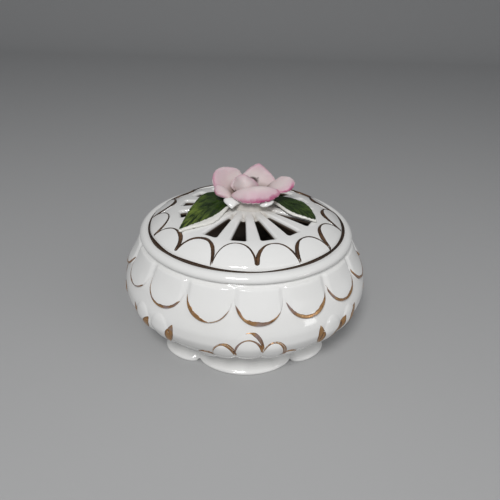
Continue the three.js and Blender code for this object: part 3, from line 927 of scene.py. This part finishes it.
def sheet_points(arcs, rim, wall, ruffle, curl, seed, veins=0.0):
    """Points of a closed sheet with a rounded, ruffled rim, and how far out, across and along they are.

    Its front is a fan of rings from its middle to its rim, and so is its back, which shares the rim."""
    dice = np.random.default_rng(seed)
    waves = [(dice.integers(low, high), dice.uniform(0, 6.3)) for low, high in RIM_WAVES]
    turn = np.arange(SHEET_COLUMNS) * 2 * math.pi / SHEET_COLUMNS
    slow, quick, fine = [np.sin(number * turn + phase) for number, phase in waves]
    wave = 0.6 * slow + 0.4 * quick
    out = (1 - (1 - np.arange(1, SHEET_RINGS + 1) / SHEET_RINGS) ** 2)[:, None]
    ragged = 1 + 0.02 * (wave + 0.5 * fine) * out**4
    flat = SHEET_MIDDLE + (rim - SHEET_MIDDLE) * (out * ragged)[..., None]
    across, along = flat[..., 0], flat[..., 1]
    normal = sheet_normal(arcs, across, along)
    free = smooth((along - 0.15) / 0.4)
    lift = (ruffle * wave * out**4 - curl * out**7) * free - veins * vein_relief(across, along)
    centre = sheet_surface(arcs, across, along) + normal * lift[..., None]
    middle = sheet_surface(arcs, *SHEET_MIDDLE)
    inset = (1 - out) * np.linalg.norm(sheet_surface(arcs, *rim.T) - middle, axis=-1)
    thick = wall / 2 * np.sqrt(1 - np.clip(1 - inset / (0.75 * wall), 0, 1) ** 2) * (1 - 0.2 * out**2)
    thick = normal * thick[..., None]
    ahead = [sheet_surface(arcs, *(SHEET_MIDDLE + step)) - middle for step in ([0.02, 0], [0, 0.02])]
    hub = unit(np.cross(*ahead)) * wall / 2
    sides = (centre + thick).reshape(-1, 3), (centre - thick)[:-1].reshape(-1, 3)
    return np.concatenate([*sides, [middle + hub, middle - hub]]), out + 0 * across, across, along


def sheet_faces():
    """Faces of a sheet's front and back, each a fan round its middle and quads out to the rim."""
    rim = (SHEET_RINGS - 1) * SHEET_COLUMNS
    under = rim + SHEET_COLUMNS
    hub = under + rim
    beside = [(j + 1) % SHEET_COLUMNS for j in range(SHEET_COLUMNS)]
    fans = [[hub, k, j] for j, k in enumerate(beside)]
    fans += [[hub + 1, under + j, under + k] for j, k in enumerate(beside)]
    quads = turned_faces(SHEET_RINGS, SHEET_COLUMNS)
    back = np.append(under + np.arange(rim), rim + np.arange(SHEET_COLUMNS))
    return fans + quads.tolist() + back[quads[:, [0, 3, 2, 1]]].tolist()


def petal_values(name, out, across, along):
    """How near its rim a petal's points are, how far along, how magenta they are painted and how dark
    painted shade makes them.
    """
    place = (across + 1) / 2
    painted_at, spread, strength, shade = PETAL_TONES[name]
    # Painted shade: darker towards the root, where the petals shade each other, and on one a painted cleft
    # shadow
    dark = shade * smooth((0.42 - along) / 0.3)
    if name in PAINTED_CLEFT_SHADOWS:
        at, height, lean = PAINTED_CLEFT_SHADOWS[name]
        above = along - height + lean * (place - at)
        above = above / np.where(above > 0, 0.1, 0.34)
        dark = np.maximum(dark, 1 - smooth((np.hypot((place - at) / 0.17, above) - 0.35) / 0.75))
    return np.stack([out, along, strength * hump(place - painted_at, spread), dark], -1)


def leaf_values(name, out, across, along):
    """How near its rim a leaf's points are, how far along, how far from its front side, and a plain 1."""
    root = LEAVES[name][0]
    from_front = across if root[0][1] < root[2][1] else -across
    return np.stack([out, along, (from_front + 1) / 2, np.ones(across.shape)], -1)


def make_sheet(name, spec, rim_shape, material, slot, values=None, **form):
    *arcs, square = spec
    points, *places = sheet_points(arcs, even_rim(rim_shape(square), arcs), **form)
    piece = make_mesh(name + "_modelled", points, sheet_faces())
    if values:
        # The back has the front's values except for the last, which is 0
        behind = [1, 1, 1, 0]
        front = values(name, *places)
        back = front[:-1] * behind
        hub = np.array([0, SHEET_MIDDLE[1], *front[0, 0, 2:]])
        every = np.concatenate([front.reshape(-1, 4), back.reshape(-1, 4), [hub, hub * behind]])
        store(piece, "shape", *every.T)
    turn_outward(piece)
    finish_piece(piece, material, "lid", slot, name)


def make_rose_base(material):
    radius, height = [evenly(values, 40) for values in zip(*ROSE_BASE_PROFILE)]
    angle = columns_of(72)
    uneven = 1 + 0.03 * np.sin(np.radians(angle * 5))
    points = np.array(turned(angle, [(r * uneven, z) for r, z in zip(radius, height)]))
    points[..., :2] += ROSE_BASE_MIDDLE
    base = make_turned("rose_base_modelled", points)
    # The rose base is tinted warm, partly stain and partly painted shade under the petals
    store(base, "tone", 0, 0.6)
    finish_piece(base, material, "lid", "glazed_porcelain", "rose_base")


# Materials

class Look:
    """A procedural material. The values it takes are constants, colours or outputs of its other nodes."""

    def __init__(self, name):
        self.material = bpy.data.materials.new(name)
        self.material.use_nodes = True
        self.tree = self.material.node_tree
        self.shader = self.tree.nodes["Principled BSDF"]

    def feed(self, node, values):
        """Sets a node's sockets, given by name or number."""
        for socket, value in values.items():
            socket = node.inputs[socket]
            if isinstance(value, (int, float)):
                socket.default_value = value
            elif isinstance(value, tuple):
                socket.default_value = (*value, 1)[:len(socket.default_value)]
            else:
                self.tree.links.new(value, socket)

    def node(self, kind, values, **settings):
        node = self.tree.nodes.new(kind)
        for name, value in settings.items():
            setattr(node, name, value)
        self.feed(node, values)
        return node

    def finish(self, values):
        self.feed(self.shader, values)
        return self.material

    def noise(self, scale, detail, roughness=0.5, at=None):
        at = at or self.node("ShaderNodeTexCoord", {}).outputs["Object"]
        values = {"Scale": scale, "Detail": detail, "Roughness": roughness, "Vector": at}
        return self.node("ShaderNodeTexNoise", values).outputs["Fac"]

    def ramp(self, value, stops):
        node = self.node("ShaderNodeValToRGB", {"Fac": value})
        elements = node.color_ramp.elements
        while len(elements) < len(stops):
            elements.new(0.5)
        for element, (at, colour) in zip(elements, stops):
            element.position = at
            element.color = (*colour, 1)
        return node.outputs["Color"]

    def between(self, value, low, high, top=1.0, bottom=0.0):
        """The bottom up to the low value, rising to the top at the high one."""
        return self.ramp(value, [(low, (bottom,) * 3), (high, (top,) * 3)])

    def maths(self, operation, *values):
        return self.node("ShaderNodeMath", dict(enumerate(values)), operation=operation).outputs[0]

    def times(self, first, second):
        return self.maths("MULTIPLY", first, second)

    def plus(self, first, second):
        return self.maths("ADD", first, second)

    def minus(self, first, second):
        return self.maths("SUBTRACT", first, second)

    def mixed(self, factor, first, second):
        values = {"Factor": factor, "A": first, "B": second}
        return self.node("ShaderNodeMix", values, data_type="RGBA").outputs["Result"]

    def bumped(self, value, strength, distance):
        values = {"Height": value, "Strength": strength, "Distance": distance}
        return self.node("ShaderNodeBump", values).outputs["Normal"]

    def stored(self, name):
        """The four stored values of a mesh's points."""
        stored = self.node("ShaderNodeVertexColor", {}, layer_name=name)
        split = self.node("ShaderNodeSeparateColor", {0: stored.outputs["Color"]})
        return *split.outputs, stored.outputs["Alpha"]


def porcelain_material():
    """White glaze with faint clouds, a warm tint round the rose that is stain and painted shade, and a
    matt inside painted dark as shade.
    """
    look = Look("glazed_porcelain")
    inside, warm = look.stored("tone")[:2]
    # The inside and the windows' walls are darkened as painted shade, standing for the shade within the
    # closed box
    inside = look.between(inside, 0.1, 0.5)
    colour = look.ramp(look.noise(35, 4), [(0.3, (0.82, 0.815, 0.795)), (0.7, (0.87, 0.865, 0.85))])
    # Warm tint, partly stain and partly painted shade round the rose's base and in the creases
    stain_and_shade = look.times(warm, look.between(look.noise(45, 2), 0.0, 0.6))
    colour = look.mixed(stain_and_shade, colour, (0.34, 0.275, 0.20))
    gloss = look.between(look.noise(90, 3), 0.35, 0.75, 0.11, 0.05)
    return look.finish({
        "Base Color": look.mixed(inside, colour, (0.13, 0.095, 0.07)),
        "Roughness": look.mixed(inside, gloss, (0.5, 0.5, 0.5)),
        "Specular IOR Level": 0.55,
        "Normal": look.bumped(look.noise(60, 2), 0.14, 0.0012),
    })


def gold_material(name, dark, middle, light, warm, worn):
    """Streaky gold, dark along the edges of its lines, warm where they are broad and worn where thin."""
    look = Look(name)
    edge, half_width = look.stored("edge")[:2]
    streaks = look.noise(300, 6, 0.7)
    colour = look.ramp(streaks, [(0.3, dark), (0.5, middle), (0.7, light)])
    colour = look.mixed(look.between(half_width, 0.2, 0.37, 0.8), colour, warm)
    thin = look.minus(1.0, look.between(half_width, 0.4, 0.5))
    rubbed = look.times(look.between(look.noise(130, 4), 0.52, 0.64, 0.75), thin)
    colour = look.mixed(rubbed, colour, worn)
    return look.finish({
        "Base Color": look.mixed(look.between(edge, 0.55, 1.0, 0.75), colour, dark),
        "Metallic": 0.6,
        "Roughness": look.between(look.noise(260, 3), 0.3, 0.7, 0.42, 0.22),
        "Normal": look.bumped(streaks, 0.25, 0.0002),
    })


def petal_material():
    """Pink enamel, pale in patches, with a ragged magenta rim, a few bare flecks on the very edge and
    painted shade at its root.
    """
    look = Look("rose_petal")
    rim, along, blush, shade = look.stored("shape")
    # The root colour is painted shade, darker where the petals crowd together at their bases
    root, heart, lip = (0.36, 0.27, 0.21), (0.64, 0.50, 0.50), (0.60, 0.43, 0.475)
    colour = look.ramp(along, [(0.06, root), (0.38, heart), (0.9, lip)])
    pale = look.between(look.noise(80, 2), 0.35, 0.6, 0.7)
    outer = look.between(along, 0.2, 0.5)
    colour = look.mixed(look.times(pale, outer), colour, (0.72, 0.635, 0.62))
    patches = look.noise(240, 5, 0.6)
    ragged = look.plus(rim, look.times(look.minus(patches, 0.5), 0.35))
    painted = look.times(look.between(along, 0.4, 0.65), blush)
    soft = look.times(look.between(ragged, 0.35, 0.95, 0.6), painted)
    colour = look.mixed(soft, colour, (0.58, 0.24, 0.38))
    strong = look.times(look.between(ragged, 0.8, 0.93, 0.9), painted)
    colour = look.mixed(strong, colour, (0.42, 0.045, 0.17))
    flecks = look.between(look.noise(420, 3), 0.5, 0.58, 0.85)
    colour = look.mixed(look.times(look.between(rim, 0.97, 0.99), flecks), colour, (0.82, 0.76, 0.74))
    return look.finish({
        # Painted shade: the petal darkens towards its root and in the painted shadow of a cleft
        "Base Color": look.mixed(shade, colour, (0.045, 0.025, 0.02)),
        "Specular IOR Level": 0.35,
        "Roughness": 0.5,
        "Subsurface Weight": 0.06,
        "Subsurface Radius": (0.002, 0.001, 0.001),
        "Normal": look.bumped(patches, 0.2, 0.0003),
    })


def leaf_material(name, pale_stroke_and_sheen_amount, margin):
    """Green enamel in slanting strokes, lighter near the tip and partly a painted sheen, that leaves the
    rim and the back bare.
    """
    look = Look(name)
    rim, along, across, front = look.stored("shape")
    side = look.maths("ABSOLUTE", look.minus(across, 0.5))
    slant = look.minus(along, look.times(side, 0.9))
    place = look.node("ShaderNodeCombineXYZ", {0: look.times(slant, 6), 1: look.times(across, 6.5)})
    strokes = look.noise(1, 5, 0.6, place.outputs[0])
    dark, middle, light = (0.006, 0.015, 0.002), (0.020, 0.042, 0.007), (0.05, 0.09, 0.014)
    green = look.ramp(strokes, [(0.3, dark), (0.5, middle), (0.75, light)])
    # Pale strokes of the enamel, which also stand in for the leaf's sheen as a painted sheen
    pale_strokes_and_sheen = look.times(look.between(strokes, 0.42, 0.62, pale_stroke_and_sheen_amount), look.between(along, 0.35, 0.75))
    green = look.mixed(pale_strokes_and_sheen, green, (0.18, 0.245, 0.04))
    reach = look.plus(rim, look.times(look.minus(look.noise(420, 4, 0.6), 0.5), 0.22))
    near_side = look.minus(1.0, look.between(across, 0.1, 0.35))
    reach = look.plus(reach, look.times(near_side, margin))
    bare = look.maths("MAXIMUM", look.between(reach, 0.93, 0.96), look.minus(1.0, front))
    return look.finish({
        "Base Color": look.mixed(bare, green, (0.80, 0.79, 0.74)),
        "Roughness": 0.22,
        "Specular IOR Level": 0.4,
        "Normal": look.bumped(strokes, 0.3, 0.0006),
    })


# Camera, floor and light

def make_camera():
    camera = add_object("camera", bpy.data.cameras.new("camera"))
    camera.data.sensor_width = 36
    camera.data.lens = CAMERA_LENS
    camera.data.clip_start = 0.01
    pitch = Matrix.Rotation(math.radians(90 - CAMERA_PITCH), 4, "X")
    roll = Matrix.Rotation(math.radians(CAMERA_ROLL), 4, "Z")
    camera.matrix_world = Matrix.Translation(Vector(CAMERA_PLACE) * MM) @ pitch @ roll
    bpy.context.scene.camera = camera


def make_lamp(name, place, size, power):
    lamp = add_object(name, bpy.data.lights.new(name, "AREA"))
    lamp.data.energy = power
    lamp.data.size = size
    lamp.location = place
    middle = Vector((0, 0, 0.03))
    lamp.rotation_euler = (middle - Vector(place)).to_track_quat("-Z", "Y").to_euler()


def make_floor():
    """A floor that sweeps up into a backdrop behind the box."""
    look = Look("floor")
    half_width, front, depth, bend, top = 3000, -1500, 900, 300, 1400
    turn = np.radians(np.linspace(0, 90, 13))
    section = [(front, 0)]
    section += [(depth + bend * math.sin(t), bend * (1 - math.cos(t))) for t in turn]
    section.append((depth + bend, top))
    points = [(x, y, z) for y, z in section for x in (-half_width, half_width)]
    faces = [[2 * i, 2 * i + 1, 2 * i + 3, 2 * i + 2] for i in range(len(section) - 1)]
    floor = make_mesh("floor", points, faces)
    floor.data.materials.append(look.finish({"Base Color": (0.45, 0.45, 0.45), "Roughness": 0.9}))


def make_light():
    world = bpy.data.worlds.new("world")
    world.use_nodes = True
    background = world.node_tree.nodes["Background"]
    background.inputs["Color"].default_value = (0.95, 0.97, 1.0, 1)
    background.inputs["Strength"].default_value = 0.28
    bpy.context.scene.world = world
    bpy.context.scene.view_settings.view_transform = "Standard"
    for name, lamp in LAMPS.items():
        make_lamp(name, *lamp)


porcelain = porcelain_material()
rose = petal_material()
gilding = gold_material(
    "gilding", (0.13, 0.06, 0.025), (0.40, 0.21, 0.09), (0.66, 0.43, 0.22), (0.50, 0.28, 0.12),
    (0.42, 0.33, 0.33),
)
dark_gilding = gold_material(
    "gilding_on_lid", (0.03, 0.017, 0.010), (0.10, 0.055, 0.030), (0.26, 0.15, 0.075), (0.24, 0.125, 0.06),
    (0.07, 0.045, 0.035),
)
greens = {
    # The left leaf gets more pale strokes, partly as a painted sheen on it
    "leaf_left": leaf_material("green_leaf", 0.75, 0.27),
    "leaf_right": leaf_material("dark_green_leaf", 0.12, 0.08),
}
make_camera()
make_floor()
make_light()
make_bowl(porcelain)
make_foot(porcelain)
make_lid(porcelain)
make_bowl_gold(gilding)
make_lid_gold(dark_gilding)
make_rose_base(porcelain)
for number, (name, spec) in enumerate(PETALS.items()):
    form = {"wall": 1.3, "ruffle": 0.35, "curl": 0.5, "seed": number}
    make_sheet(name, spec, petal_rim, rose, "rose_petal", petal_values, **form)
for number, (name, spec) in enumerate(SEPALS.items()):
    form = {"wall": 1.6, "ruffle": 0.1, "curl": 0, "seed": 20 + number}
    make_sheet(name, spec, petal_rim, porcelain, "glazed_porcelain", **form)
for number, (name, spec) in enumerate(LEAVES.items()):
    form = {"wall": 1.9, "ruffle": 0.2, "curl": 0, "seed": 30 + number, "veins": 0.35}
    make_sheet(name, spec, leaf_rim, greens[name], "green_leaf", leaf_values, **form)
